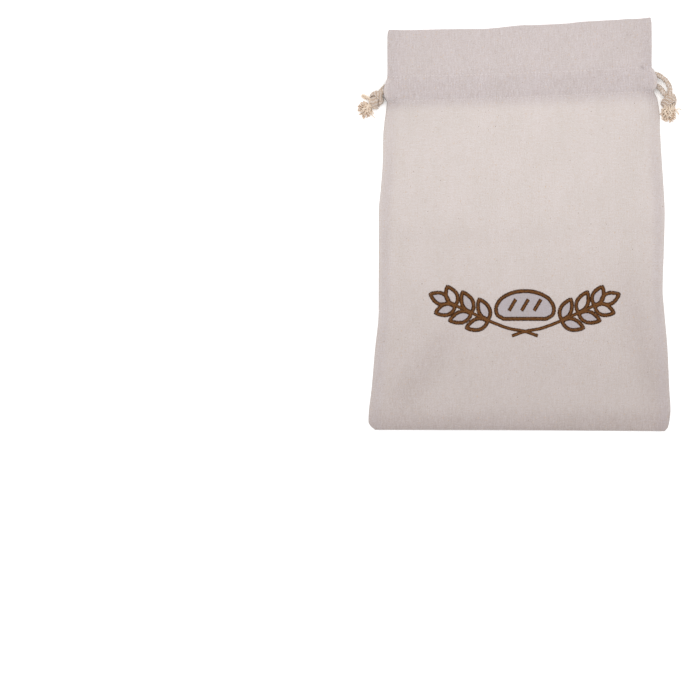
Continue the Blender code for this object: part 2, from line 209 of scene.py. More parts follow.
class Yarns:
    """Points, faces and UVs of a piece made of strands, and each point's fraying and painted shade.
    """

    def __init__(self):
        self.points, self.faces, self.uvs, self.fray_and_shade = [], [], [], []

    def sweep(self, line, across, up, sides, ups=None, fray_and_shade=0.0, start=0.0):
        """A closed tube along a line; across and up are its half widths at each point.

        ups are the directions that up is measured in. In its UVs, v is the length along the
        tube in metres, counted from start, and u goes once round it.
        """
        first, count = len(self.points), len(line)
        ups = ups or lifts(line)
        across = across if isinstance(across, list) else [across] * count
        up = up if isinstance(up, list) else [up] * count
        lengths = [start]
        self.fray_and_shade += [fray_and_shade] * (count * sides)
        for i, (point, along) in enumerate(zip(line, tangents(line))):
            if i:
                lengths.append(lengths[-1] + (point - line[i - 1]).length)
            lift = (ups[i] - along * ups[i].dot(along)).normalized()
            side = along.cross(lift)
            for k in range(sides):
                a = math.tau * k / sides
                self.points.append(
                    point + side * (across[i] * math.cos(a)) + lift * (up[i] * math.sin(a))
                )
        for i in range(count - 1):
            for k in range(sides):
                a, b = first + i * sides, first + (i + 1) * sides
                self.faces.append((a + k, b + k, b + (k + 1) % sides, a + (k + 1) % sides))
                low, high = k / sides, (k + 1) / sides
                self.uvs += [
                    (low, lengths[i]), (low, lengths[i + 1]),
                    (high, lengths[i + 1]), (high, lengths[i]),
                ]
        self.faces.append(tuple(first + k for k in range(sides)))
        last = first + (count - 1) * sides
        self.faces.append(tuple(last + k for k in reversed(range(sides))))
        self.uvs += [(k / sides, lengths[0]) for k in range(sides)]
        self.uvs += [(k / sides, lengths[-1]) for k in range(sides)]

    def plait(self, line, size, shown):
        """Eight strands plaited round a core. Beyond the shown length the plait is plainer."""
        ups = lifts(line)
        lengths = [0.0]
        for a, b in zip(line, line[1:]):
            lengths.append(lengths[-1] + (b - a).length)
        turn = math.tau / (2.55 * size)  # a strand goes once round in 2.55 diameters
        swells = []  # at its two ends, out of the channel, the plait is a little fuller
        for s in lengths:
            swells.append(1 + 0.12 * (1 - rise(0.6, 1.0, min(s, lengths[-1] - s) / shown)))
        # The core's radius, and half a strand's width and thickness
        core = [0.32 * size * w for w in swells]
        across, up = [0.19 * size * w for w in swells], [0.125 * size * w for w in swells]
        self.sweep(line, core, core, 8, ups)
        for strand in range(8):
            way = 1 if strand < 4 else -1
            phase = strand * math.pi / 2 + (0 if strand < 4 else math.pi / 4)
            places, outs = [], []
            for point, along, lift, s, swell in zip(line, tangents(line), ups, lengths, swells):
                # Strands that go one way round pass over and under those that go the other
                wave = 0.07 * size * math.sin(4 * turn * s) if swell > 1 else 0.0
                angle = way * turn * s + phase
                out = lift * math.cos(angle) + along.cross(lift) * math.sin(angle)
                places.append(point + out * (swell * (0.325 * size + way * wave)))
                outs.append(out)
            self.sweep(places, across, up, 7, outs)

    def piece(self, name, material):
        """The strands as one object."""
        mesh = bpy.data.meshes.new(name)
        mesh.from_pydata([tuple(p) for p in self.points], [], self.faces)
        layer = mesh.uv_layers.new(name="yarn")
        layer.data.foreach_set("uv", [c for uv in self.uvs for c in uv])
        mesh.attributes.new("fray_and_shade", "FLOAT", "POINT").data.foreach_set("value", self.fray_and_shade)
        mesh.polygons.foreach_set("use_smooth", [True] * len(mesh.polygons))
        mesh.materials.append(material)
        made = bpy.data.objects.new(name, mesh)
        bpy.context.scene.collection.objects.link(made)
        return made


# Natural cotton, unbleached and soft spun: matt, with a slight fuzz at grazing angles. Its
# fibres lie in a twist, drawn as slanting bands 3.5 mm apart along a strand. The real ones
# are three times closer and wouldn't show.
cotton, tree, shader = new_material(
    "natural cotton yarn",
    {"Roughness": 0.92, "Specular IOR Level": 0.15, "Sheen Weight": 0.25, "Sheen Roughness": 0.5},
)
yarn_uv = add(tree, "UVMap", {"uv_map": "yarn"})
twist_place = add(
    tree,
    "Mapping",
    inputs={"Scale": (3.0, 1 / 0.0009, 1.0)},
    links={"Vector": yarn_uv.outputs["UV"]},
)
twist = add(
    tree,
    "TexWave",
    {"wave_type": "BANDS", "bands_direction": "DIAGONAL"},
    {"Scale": 0.16, "Distortion": 1.6, "Detail": 2.0, "Detail Scale": 2.0},
    {"Vector": twist_place.outputs["Vector"]},
)
cotton_place = add(tree, "TexCoord")
mottle = add(
    tree,
    "TexNoise",
    inputs={"Scale": 1 / 0.0022, "Detail": 3.0, "Roughness": 0.6},
    links={"Vector": cotton_place.outputs["Object"]},
)
cotton_colour = add(
    tree,
    "MixRGB",
    inputs={"Color1": linear("#B9AB9F"), "Color2": linear("#DCD2CA")},
    links={"Fac": mottle.outputs["Fac"]},
)
twist_shade = add(
    tree,
    "MixRGB",
    {"blend_type": "MULTIPLY"},
    {"Color2": linear("#E6D7C6")},
    {"Fac": twist.outputs["Fac"], "Color1": cotton_colour.outputs["Color"]},
)
# Loosened in the tassels, the cotton loses most of the twist's shading and turns from a tan
# of painted shade, where the yarns lie deep, to a pale cream on top
fray_and_shade = add(tree, "Attribute", {"attribute_name": "fray_and_shade"})
fluff = add(
    tree,
    "MixRGB",
    inputs={"Color1": linear("#C4986E"), "Color2": linear("#F2E3D0")},
    links={"Fac": fray_and_shade.outputs["Fac"]},
)
loosened = add(
    tree,
    "MapRange",
    inputs={"From Max": 0.35, "To Max": 0.9},
    links={"Value": fray_and_shade.outputs["Fac"]},
)
fluff_shade = add(
    tree,
    "MixRGB",
    links={
        "Fac": loosened.outputs["Result"],
        "Color1": twist_shade.outputs["Color"],
        "Color2": fluff.outputs["Color"],
    },
)
twist_relief = add(
    tree,
    "Bump",
    inputs={"Strength": 0.6, "Distance": 0.0003},
    links={"Height": twist.outputs["Fac"]},
)
tree.links.new(fluff_shade.outputs["Color"], shader.inputs["Base Color"])
tree.links.new(twist_relief.outputs["Normal"], shader.inputs["Normal"])


def drawcord(name, route, node):
    """A plaited cord along its route, the line that it follows and its length."""
    curve = smooth_line([Vector(p) * MM for p in route], CURVE_STEP)
    length = sum((b - a).length for a, b in zip(curve, curve[1:]))
    line, s = [curve[0]], 0.0
    for a, b in zip(curve, curve[1:]):
        s += (b - a).length
        step = FINE_STEP if min(s, length - s) < FINE_REACH else PLAIN_STEP
        if (b - line[-1]).length >= step:
            line.append(b)
    yarns = Yarns()
    yarns.plait(line, CORD_DIAMETER, FINE_REACH)
    cord = yarns.piece(name, cotton)
    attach(cord, "root")
    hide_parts(node)
    return cord, line, length


right_cord, right_line, right_length = drawcord("drawcord_right", RIGHT_CORD_ROUTE, "cord_right")
left_cord, left_line, left_length = drawcord("drawcord_left", LEFT_CORD_ROUTE, "cord_left")

# Knots and frayed ends
# Both ends of each cord are tied together in one overhand knot, pulled tight, and the
# plait is undone below it, so that its twisted yarns spread into a short curly tassel.

YARN_STEP = 0.9  # millimetres between the points of a tassel's yarn
PLY_TURN = 3.6  # millimetres of yarn in which its two plies go once round each other
FIBRE = 0.12 * MM  # half a loose fibre's thickness


def knot_core(yarns, radius, points):
    """The solid heart of a knot, swollen like a bead along its line, and its middle."""
    line = smooth_line([Vector(p) * MM for p in points], FINE_STEP)
    last = len(line) - 1
    bulge = [
        radius * MM * math.sqrt(max(0.02, 1 - (2 * i / last - 1) ** 4)) for i in range(last + 1)
    ]
    yarns.sweep(line, bulge, [0.82 * r for r in bulge], 12)
    core = sum(line, Vector()) / len(line)
    core.z *= 0.7
    return core


def knot_wrap(yarns, width, strands, points, core, seed, pick):
    """A flat band of yarns laid along a line over the knot's heart, narrower at both ends."""
    line = smooth_line([Vector(p) * MM for p in points], FINE_STEP)
    along, last = tangents(line), len(line) - 1
    outs = [(p - core - a * (p - core).dot(a)).normalized() for p, a in zip(line, along)]
    for k in range(strands):
        off = (k + 0.5) / strands - 0.5
        path = []
        for i, (p, a, out) in enumerate(zip(line, along, outs)):
            # The band narrows to its ends, its outer yarns lie lower and all wander a little
            pinch = 1.0 - 0.12 * (1 - i / last) ** 2 - 0.3 * rise(0.5, 1.0, i / last)
            lower = 0.9 * abs(2 * off) ** 2.2 + 0.3 * noise.noise(Vector((i / 5, k * 3.1, seed)))
            slide = 0.2 * noise.noise(Vector((i / 7, k * 5.7, seed + 4.0)))
            path.append(p + a.cross(out) * ((off * width * pinch + slide) * MM) - out * (lower * MM))
        half = 0.51 * width / strands * MM
        yarns.sweep(path, half, 1.1 * half, 9, outs, start=pick.uniform(0, 0.02))


def tassel_ends(roots, spread, layers, pick):
    """For each yarn of a tassel: root, end, how wavy it is, phase, side and painted depth shade."""
    centre, long, wide, heading = spread
    ahead = Vector((math.cos(math.radians(heading)), math.sin(math.radians(heading)), 0))
    aside = Vector((-ahead.y, ahead.x, 0))
    found = []
    for layer, (count, root_z, rest_z, reach) in enumerate(layers):
        for i in range(count):
            share = (i + pick.uniform(0.2, 0.8)) / count
            root = Vector(roots[0]).lerp(Vector(roots[1]), share)
            root = Vector((root.x, root.y, root_z + pick.uniform(-0.5, 0.5)))
            angle = math.pi * (share - 0.5) * 1.15 + pick.uniform(-0.2, 0.2)
            far = reach * pick.uniform(0.74, 1.0)
            end = Vector((*centre, 0)) + ahead * (long * far * math.cos(angle))
            end += aside * (wide * far * math.sin(angle))
            end.z = rest_z
            # Painted shade: yarns in the lower layers are darker and tan, those on top pale
            depth_shade = 0.42 + 0.16 * layer + pick.uniform(-0.12, 0.12)
            wavy, phase = pick.uniform(0.7, 1.3), pick.uniform(0, 6.28)
            found.append((root, end, wavy, phase, pick.choice((-1, 1)), depth_shade))
    return found


def curly(root, end, wavy, phase, side):
    """The wavy line of a loose yarn, with a hook to one side at its tip."""
    way = end - root
    run, flat = way.length, Vector((way.x, way.y, 0)).normalized()
    across = Vector((-flat.y, flat.x, 0))
    steps = max(8, round(run / YARN_STEP))
    path = [root - flat * 1.5]
    for k in range(steps + 1):
        t = k / steps
        s = t * run
        p = root + flat * s * (Vector((way.x, way.y, 0)).length / run)
        p += across * (wavy * 0.62 * math.sin(phase + s * 1.25) * min(1.0, 2.5 * t))
        p.z = root.z + (end.z - root.z) * rise(0.0, 0.8, t) + 0.4 * math.cos(phase + 1.3 * s) * t
        path.append(p)
    tip, hook = path[-1], 1.1 + 0.5 * wavy
    for k in range(1, 4):
        turn = k * 0.5
        p = tip + flat * (hook * math.sin(turn)) + across * (side * hook * (1 - math.cos(turn)))
        p.z = tip.z + 0.25 * k
        path.append(p)
    return path


def two_ply(yarns, thick, points, depth_shade):
    """A yarn of two plies wound round a line, looser and thinner towards its end."""
    line = smooth_line([Vector(p) * MM for p in points], YARN_STEP * MM)
    for p in line:
        p.z = max(p.z, 1.9 * thick * MM)  # none goes below the table
    ups, last = lifts(line), len(line) - 1
    taper = [thick * MM * (1.0 - 0.45 * max(0.0, (i / last - 0.8) / 0.2)) for i in range(last + 1)]
    for ply in range(2):
        wound = []
        for i, (p, along, lift) in enumerate(zip(line, tangents(line), ups)):
            turn = math.tau * i * YARN_STEP / PLY_TURN + math.pi * ply
            loose = 0.85 + 0.7 * max(0.0, i / last - 0.75)
            out = lift * math.cos(turn) + along.cross(lift) * math.sin(turn)
            wound.append(p + out * (thick * MM * loose))
        yarns.sweep(wound, taper, taper, 5, fray_and_shade=depth_shade)


def loose_fibres(yarns, path, pick):
    """Four fine fibres that have worked loose from a yarn and lie over it, slightly curved."""
    for _ in range(4):
        i = pick.randrange(2, len(path) - 2)
        way = (path[i + 1] - path[i - 1]).normalized()
        across = Vector((-way.y, way.x, 0)) * pick.uniform(-1.0, 1.0)
        start = path[i] + Vector((0, 0, pick.uniform(0.0, 1.2)))
        fibre = [start + (way * t + across * t * t * 0.25) for t in (-2.0, -0.7, 0.7, 2.0)]
        line = smooth_line([Vector((p.x, p.y, max(p.z, 0.3))) * MM for p in fibre], FINE_STEP)
        yarns.sweep(line, FIBRE, FIBRE, 4, fray_and_shade=0.9)


def knot(name, node, heart, wraps, roots, spread, layers, strays, seed):
    """A tied knot and its tassel, with all sizes in millimetres.

    heart is (radius, points) of the knot's solid heart, and wraps are (width, yarns, points)
    of the bands over it. roots are the ends of the line where the tassel starts, and spread
    is the oval that its yarns reach: middle, half length, half width and heading. layers are
    (yarns, height at the root, height at the end, reach), from the table up, and strays are
    (thickness, points) of the yarns that lie apart from the others.
    """
    yarns = Yarns()
    pick = random.Random(seed)
    core = knot_core(yarns, *heart)
    for width, strands, points in wraps:
        knot_wrap(yarns, width, strands, points, core, seed, pick)
    tassel = []
    for root, end, wavy, phase, side, depth_shade in tassel_ends(roots, spread, layers, pick):
        path = curly(root, end, wavy, phase, side)
        tassel.append((pick.uniform(0.36, 0.46), path, depth_shade))
    for thick, points in strays:
        two_ply(yarns, thick, points, 0.85)
    for thick, path, depth_shade in tassel:
        two_ply(yarns, thick, path, depth_shade)
    for _, path, _ in tassel:
        loose_fibres(yarns, path, pick)
    tied = yarns.piece(name, cotton)
    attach(tied, "root")
    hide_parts(node)
    return tied


right_knot = knot(
    "knot_right_tied",
    "knot_right",
    heart=(4.4, [(149.6, 129.6, 5.6), (149.0, 124.6, 5.8), (148.2, 118.4, 4.6)]),
    wraps=[
        (5.0, 3, [(148.6, 131.8, 8.6), (151.6, 129.6, 8.8), (155.0, 126.6, 6.6),
                  (155.6, 121.8, 5.2), (153.2, 117.0, 4.4)]),
        (9.6, 6, [(144.6, 117.8, 2.6), (144.2, 119.8, 6.4), (146.8, 122.9, 9.8),
                  (150.4, 125.6, 11.0), (153.9, 126.8, 9.2), (156.0, 125.2, 5.6),
                  (154.8, 122.8, 2.8)]),
    ],
    roots=((144.4, 117.8), (154.0, 119.8)),
    spread=((148.8, 113.0), 9.6, 7.4, -93.0),
    layers=[(13, 3.0, 1.1, 1.0), (11, 4.8, 2.6, 0.94), (9, 6.4, 4.2, 0.84), (5, 7.4, 5.4, 0.6)],
    strays=[
        (0.42, [(153.0, 118.6, 4.0), (155.0, 115.4, 3.4), (157.2, 113.6, 2.6),
                (158.9, 111.8, 1.6), (159.4, 109.9, 1.0)]),
        (0.30, [(153.0, 117.8, 4.0), (156.4, 115.4, 3.6), (158.8, 116.0, 2.6),
                (161.0, 115.8, 1.8), (162.6, 114.6, 1.0)]),
        (0.26, [(152.0, 113.4, 2.4), (154.6, 111.4, 2.4), (156.6, 108.4, 1.8),
                (156.2, 106.2, 1.1), (153.6, 105.6, 0.9)]),
    ],
    seed=4,
)
left_knot = knot(
    "knot_left_tied",
    "knot_left",
    heart=(4.6, [(-138.4, 130.6, 6.0), (-142.2, 125.4, 6.2), (-146.0, 119.8, 5.2)]),
    wraps=[
        (4.6, 3, [(-138.0, 126.4, 5.6), (-138.0, 124.0, 8.6), (-138.8, 121.2, 8.0),
                  (-140.4, 118.6, 3.4)]),
        (7.6, 5, [(-145.2, 129.8, 5.4), (-145.0, 126.8, 9.8), (-145.4, 122.4, 11.2),
                  (-145.0, 118.6, 8.4), (-143.4, 116.0, 3.4)]),
        (7.2, 5, [(-148.4, 128.2, 2.8), (-147.0, 131.0, 6.8), (-142.9, 131.2, 10.4),
                  (-139.2, 128.0, 10.8), (-136.6, 125.0, 7.8), (-136.0, 123.0, 3.4)]),
    ],
    roots=((-144.6, 116.6), (-149.8, 126.0)),
    spread=((-152.2, 116.4), 8.8, 8.0, 216.0),
    layers=[(13, 3.0, 1.1, 1.0), (11, 4.6, 2.6, 0.94), (9, 6.0, 4.2, 0.84), (5, 7.0, 5.2, 0.6)],
    strays=[
        (0.55, [(-147.6, 124.8, 5.6), (-151.0, 127.2, 5.2), (-154.2, 129.4, 4.2),
                (-156.8, 130.0, 2.8), (-157.2, 128.4, 1.8), (-155.2, 127.0, 1.6),
                (-152.4, 125.4, 1.6)]),
        (0.60, [(-147.4, 124.0, 5.0), (-150.6, 126.4, 4.6), (-153.6, 128.3, 3.4),
                (-156.0, 129.0, 2.0)]),
        (0.50, [(-147.4, 123.4, 4.2), (-150.8, 125.6, 3.2), (-153.4, 127.2, 2.2),
                (-155.4, 128.6, 1.2)]),
        (0.40, [(-153.2, 113.6, 3.0), (-156.0, 110.8, 1.8), (-156.4, 107.8, 1.2),
                (-154.8, 105.4, 0.9)]),
        (0.30, [(-149.0, 114.0, 3.0), (-147.4, 110.6, 1.8), (-145.2, 108.0, 1.0),
                (-143.8, 107.4, 0.9)]),
        (0.30, [(-147.4, 115.0, 3.0), (-146.2, 112.6, 1.6), (-145.0, 110.6, 1.0)]),
    ],
    seed=9,
)

# Bag cloth
# One length of washed plain-weave linen, folded at the bottom and sewn up both sides. Its
# two ends are turned in at the mouth as a deep hem, whose inner layer ends at the lower
# stitch line. The bag lies on its flat back, and the face stands up a little over it.

CLOTH = 0.55 * MM  # thickness of one layer
LOWER_STITCH, UPPER_STITCH = 126.1, 149.8  # heights y of the channel's edges, in millimetres
ROUNDING = 1.3  # how far in from its edges the bag is rounded, in millimetres
# Outlines of the face, in millimetres, from the bottom fold to the mouth: y in the middle,
# then x and y at the left and right edges, and the face's height at the edges, in the
# middle and where the side seams' pressed allowances end, with their width
FACE = [
    (-205.1, -143.4, -204.8, 145.2, -206.3, 1.3, 1.5, 1.4, 13),
    (-202.0, -147.8, -201.6, 148.6, -202.2, 2.2, 4.0, 2.5, 13),
    (-195.6, -150.6, -196.5, 150.4, -193.8, 2.2, 5.6, 2.8, 13),
    (-186.5, -150.3, -188.0, 151.2, -185.0, 2.2, 7.2, 2.8, 13),
    (-165.0, -147.6, -165.0, 150.1, -165.0, 2.2, 9.6, 2.8, 13),
    (-125.0, -144.1, -125.0, 148.3, -125.0, 2.2, 12.6, 2.8, 13),
    (-85.0, -140.4, -85.0, 144.9, -85.0, 2.2, 14.4, 2.8, 13),
    (-65.0, -140.4, -65.0, 143.4, -65.0, 2.2, 15.0, 2.8, 13),
    (-25.0, -140.2, -25.0, 144.6, -25.0, 2.2, 15.8, 2.8, 13),
    (12.0, -140.3, 12.0, 145.5, 12.0, 2.2, 16.4, 2.8, 13),
    (37.0, -138.2, 37.0, 144.4, 37.0, 2.2, 16.8, 2.9, 13),
    (62.0, -136.4, 62.0, 142.7, 62.0, 2.3, 17.4, 3.3, 13),
    (90.5, -135.8, 90.0, 141.0, 92.0, 2.5, 18.0, 4.8, 13),
    (106.5, -134.4, 104.8, 140.2, 110.6, 3.1, 18.5, 8.4, 14),
    (119.9, -132.6, 117.6, 137.6, 126.8, 5.2, 19.4, 13.0, 16),
    (126.1, -132.3, 122.4, 134.4, 132.8, 9.4, 20.0, 15.2, 19),
    (128.8, -133.9, 125.2, 135.4, 135.4, 12.6, 20.3, 15.8, 22),
    (132.4, -135.4, 129.2, 137.0, 139.4, 13.8, 20.7, 16.3, 22),
    (137.8, -135.6, 134.8, 137.1, 145.0, 14.0, 20.8, 16.4, 22),
    (142.8, -134.2, 140.0, 135.2, 150.4, 13.8, 20.7, 16.3, 22),
    (146.9, -132.6, 144.4, 133.2, 154.4, 12.6, 20.3, 15.8, 22),
    (149.8, -131.8, 147.3, 132.0, 157.2, 8.8, 19.9, 14.8, 18),
    (156.4, -131.6, 154.4, 132.2, 163.8, 5.0, 18.5, 10.8, 15),
    (167.6, -131.7, 164.8, 132.4, 174.6, 4.0, 17.6, 7.4, 14),
    (179.6, -131.8, 175.8, 132.4, 186.3, 3.8, 16.8, 5.4, 13),
    (194.2, -131.6, 190.4, 132.2, 201.2, 3.8, 16.0, 4.8, 13),
    (199.4, -130.6, 195.0, 131.4, 207.0, 3.6, 15.8, 4.6, 13),
]


def steady(places, values):
    """A smooth function through these values that never overshoots them."""
    gaps = [b - a for a, b in zip(places, places[1:])]
    slopes = [(b - a) / g for a, b, g in zip(values, values[1:], gaps)]
    tilts = [slopes[0]]
    for s, t, g, h in zip(slopes, slopes[1:], gaps, gaps[1:]):
        flat = s * t <= 0
        tilts.append(0.0 if flat else 3 * (g + h) / ((2 * h + g) / s + (h + 2 * g) / t))
    tilts.append(slopes[-1])

    def at(place):
        i = max(k for k in range(len(gaps)) if k == 0 or places[k] <= place)
        t = (place - places[i]) / gaps[i]
        m, n = tilts[i] * gaps[i], tilts[i + 1] * gaps[i]
        return (
            values[i] * (1 + 2 * t) * (1 - t) ** 2
            + m * t * (1 - t) ** 2
            + values[i + 1] * t * t * (3 - 2 * t)
            + n * t * t * (t - 1)
        )

    return at


outline = [steady([r[0] for r in FACE], [r[k] for r in FACE]) for k in range(1, 9)]
# How far the washed rim hangs below a smooth curve along its length: (x, fall)
RIM = [
    (-129, 0.3), (-107, 1.5), (-83, 2.0), (-59, 2.7), (-35, 3.5), (-23, 3.0), (-11, 2.2),
    (1, 1.5), (13, 1.9), (37, 2.0), (49, 1.8), (61, 1.0), (85, 0.8), (97, 0.7), (109, 0.2),
    (121, 0.4), (131, -0.3),
]
rim_fall = steady([x for x, _ in RIM], [fall for _, fall in RIM])
# Pinched creases where the side seams end at the channel: from, to and depth
CREASES = [
    ((120.4, 157.4), (126.4, 153.6), 2.4),
    ((133.0, 158.6), (122.0, 161.4), 0.9),
    ((133.5, 152.0), (124.0, 149.5), 0.6),
    ((-131.5, 147.4), (-125.5, 154.0), 0.8),
    ((-131.0, 146.6), (-123.0, 146.0), 0.6),
    ((-132.0, 122.8), (-123.0, 120.0), 0.7),
]


def beside(x, y, start, end):
    """A point's distance from the line from start to end, and its share of the way along."""
    (ax, ay), (bx, by) = start, end
    dx, dy = bx - ax, by - ay
    t = ((x - ax) * dx + (y - ay) * dy) / (dx * dx + dy * dy)
    return math.hypot(x - ax - t * dx, y - ay - t * dy), t


def crease_at(x, y):
    """How deep the creases are at this point."""
    depth = 0.0
    for start, end, deep in CREASES:
        off, t = beside(x, y, start, end)
        hollow = deep * math.exp(-((off / 1.05) ** 2))
        depth += hollow * rise(-0.1, 0.15, t) * (1 - rise(0.6, 1.1, t))
    return depth


# Soft lines along which the cloth has lain folded, darkened with painted shade: from, to, half
# width, share
SHADED_FOLD_LINES = [
    ((-66.0, -106.0), (-126.0, -184.0), 15.0, 0.26),
    ((108.0, -62.0), (143.0, -186.0), 16.0, 0.27),
    ((-138.0, -10.0), (46.0, -12.0), 8.0, 0.07),
    ((70.0, 0.0), (138.0, -4.0), 7.0, 0.06),
    ((-116.0, 188.0), (-114.0, 160.0), 5.0, 0.12),
    ((-56.0, 196.0), (-54.0, 168.0), 4.0, 0.10),
]


def fold_line_shade_at(x, y):
    """How much painted shade the soft fold lines put on this point."""
    share = 0.0
    for start, end, half, most in SHADED_FOLD_LINES:
        off, t = beside(x, y, start, end)
        grey = most * math.exp(-((off / half) ** 2))
        share += grey * rise(-0.3, 0.2, t) * (1 - rise(0.8, 1.3, t))
    return share


def slit(y):
    """1 where the channel is open at the sides, 0 where the side seams are closed."""
    return rise(126.3, 128.8, y) * (1 - rise(146.9, 149.6, y))


def drape(x, y, aside):
    """How far the face stands off its plain form, in millimetres: waves, dents and puckers."""
    wave = 0.8 * noise.noise(Vector((x / 70, y / 95, 0.3)))
    wave += 0.32 * noise.noise(Vector((x / 27, y / 44, 5.1)))
    wave += 0.10 * noise.noise(Vector((x / 8, y / 60, 9.7)))
    lift = wave * rise(2, 22, aside) * rise(-205, -188, y)
    # Each row of stitches draws the cloth down and gathers it on both sides
    for line in (LOWER_STITCH, UPPER_STITCH):
        off = y - line
        lift -= 0.34 * math.exp(-((off / 1.4) ** 2)) * rise(1, 6, aside)
        gather = noise.noise(Vector((x / 4.6, line, 2.2)))
        gather += 0.6 * noise.noise(Vector((x / 11, line, 8)))
        lift += 0.42 * gather * math.exp(-(((abs(off) - 3.6) / 3.6) ** 2)) * rise(1, 8, aside)
    # Between them the channel's cloth lies in short folds over the cords
    up_channel = min(1.0, max(0.0, (y - LOWER_STITCH) / (UPPER_STITCH - LOWER_STITCH)))
    belly = math.sin(math.pi * up_channel)
    lift += 0.9 * belly * noise.noise(Vector((x / 7.6, y / 40, 7.7))) * rise(1, 8, aside)
    return lift


class Row:
    """The bag's cross-section at the height y of its middle line."""

    def __init__(self, y):
        self.y = y
        self.left, self.left_y, self.right, self.right_y = (at(y) for at in outline[:4])
        self.edge, self.crown, self.seam_z, self.seam = (at(y) for at in outline[4:])
        self.open = slit(y)

    def line(self, x):
        """The section's real y at x: a parabola through its left, middle and right."""
        across = (2 * x - self.left - self.right) / (self.right - self.left)
        bow = (self.left_y + self.right_y) / 2 - self.y
        fall = rise(160, 199, self.y) * rim_fall(min(131, max(-129, x)))
        return self.y + (self.right_y - self.left_y) / 2 * across + bow * across**2 - fall

    def form(self, aside):
        """The plain height of the face this far in from the nearer edge."""
        half = (self.right - self.left) / 2 - self.seam
        if aside < self.seam:
            return self.edge + (self.seam_z - self.edge) * max(0.0, aside) / self.seam
        across = min(1.0, max(0.0, 1 - (aside - self.seam) / half))
        return self.seam_z + (self.crown - self.seam_z) * (1 - across**3.2)

    def aside(self, x):
        """How far in from the nearer edge x is."""
        return min(x - self.left, self.right - x)

    def face(self, x):
        """The point of the face's outer surface at x."""
        aside = self.aside(x)
        soft = 4.0 * rise(2, 12, aside)  # half the width that its corners are evened out over
        z = (self.form(aside - soft) + 2 * self.form(aside) + self.form(aside + soft)) / 4
        allowance = 0.45 * rise(2, 4, aside) * (1 - rise(11, 13.5, aside))
        z += allowance * (1 - self.open)
        if aside < ROUNDING:
            round_off = 1 - math.sqrt(1 - (1 - aside / ROUNDING) ** 2)
            z -= self.edge * (0.5 - 0.42 * self.open) * round_off
        y = self.line(x)
        return Vector((x, y, z + drape(x, self.y, aside) - crease_at(x, y)))

    def back(self, x):
        """The point of the back's outer surface at x, on the table but for slight wrinkles."""
        aside = self.aside(x)
        z = 0.3 + 0.3 * rise(2, 14, aside) * (0.9 + noise.noise(Vector((x / 24, self.y / 31, 3.3))))
        if aside < ROUNDING:
            edge = self.edge * 0.5 * (1 - self.open) + 1.1 * self.open
            z += (edge - z) * (1 - math.sqrt(1 - (1 - aside / ROUNDING) ** 2))
        return Vector((x, self.line(x), z))

    def columns(self, inset=0.0):
        """Every x that a row has a point at, closer together over the side seams' allowances."""
        close = (0, 0.12, 0.45, 0.9, 1.4, 2.4, 3.6, 4.9, 6.2, 7.5, 8.8, 10.1, 11.4, 12.7, 14.0, 15.6)
        low, high = self.left + inset, self.right - inset
        first, last = low + 17.6, high - 17.6
        inner = [first + (last - first) * i / 70 for i in range(71)]
        return [low + c for c in close] + inner + [high - c for c in reversed(close)]

    def density(self, aside):
        """Painted shade from the cloth's layering: the seam allowances, the hem and its channel."""
        hem = rise(112, 130, self.y)
        channel = hem * (1 - rise(141, 160, self.y))
        margin = 0.48 * (1 - rise(7, 16, aside)) * (1 - 0.6 * rise(40, 110, self.y))
        margin *= 0.2 + 0.8 * rise(0.5, 5, aside)
        turned_down = 0.5 * self.open * (1 - rise(1.5, 7, aside))
        return min(1.0, 0.72 * hem + 0.26 * channel + margin - turned_down)

    def painted_shade(self, x):
        """Painted shade on the cloth, most at the bottom fold and along soft fold lines."""
        fold = 0.42 * (1 - rise(-195, 60, self.y)) + 0.58 * (1 - rise(-208, -176, self.y))
        return min(1.0, fold + fold_line_shade_at(x, self.y))


def stepped(*stops):
    """Even steps between stops, each given with the size of the steps that lead to it."""
    found = [stops[0][0]]
    for (start, _), (end, step) in zip(stops, stops[1:]):
        count = max(1, round(abs(end - start) / step))
        found += [start + (end - start) * i / count for i in range(1, count + 1)]
    return found


# The rows' heights y down the face, each stretch with its own step, and those of the hem
down_face = stepped(
    (199.0, 0), (195.0, 2), (159.0, 3.2), (117.0, 1.5), (101.0, 2.4), (-190.0, 3.4),
    (-202.0, 2.0), (-204.4, 1.0),
)
hem_rows = [y for y in down_face if y > LOWER_STITCH - 1.5]
RIM_BULGE, FOLD_BULGE = 0.75, -0.7  # how far the cloth stands out where it turns over
# The hem's inner layer: how far inside the outer one's edges and how far under its surface
# it lies, and how much more of both where a slit leaves the channel open
HEM_INSET, HEM_DROP = 1.6, 1.4
SLIT_INSET, SLIT_DROP = 18.4, 6.0
# The whole sheet, laid out as one strip of rows of points: from the front hem's inner layer
# over the rim, down the face, round the bottom fold, up the back and over into the other hem
strip, heights = [], []


def lay(points, y):
    """Adds a row of points to the strip, with the height that it belongs to."""
    strip.append(points)
    heights.append(y)


def turn_over(near, far, bulge, y):
    """Lays the rows that carry the cloth round an edge, from one of its sides to the other."""
    for turn in (0.25, 0.5, 0.75):
        bend = Vector((0, bulge * math.sin(math.pi * turn), 0))
        share = (1 - math.cos(math.pi * turn)) / 2
        lay([a.lerp(b, share) + bend for a, b in zip(near, far)], y)


def facing_row(y, side):
    """A row of the hem's inner layer, which leaves the channel open over the cords."""
    row = Row(y)
    under = Vector((0, 0.4 * (1 - row.open), side * (HEM_DROP + SLIT_DROP * row.open)))
    columns = row.columns(HEM_INSET + SLIT_INSET * row.open)
    return [(row.face(x) if side > 0 else row.back(x)) - under for x in columns]


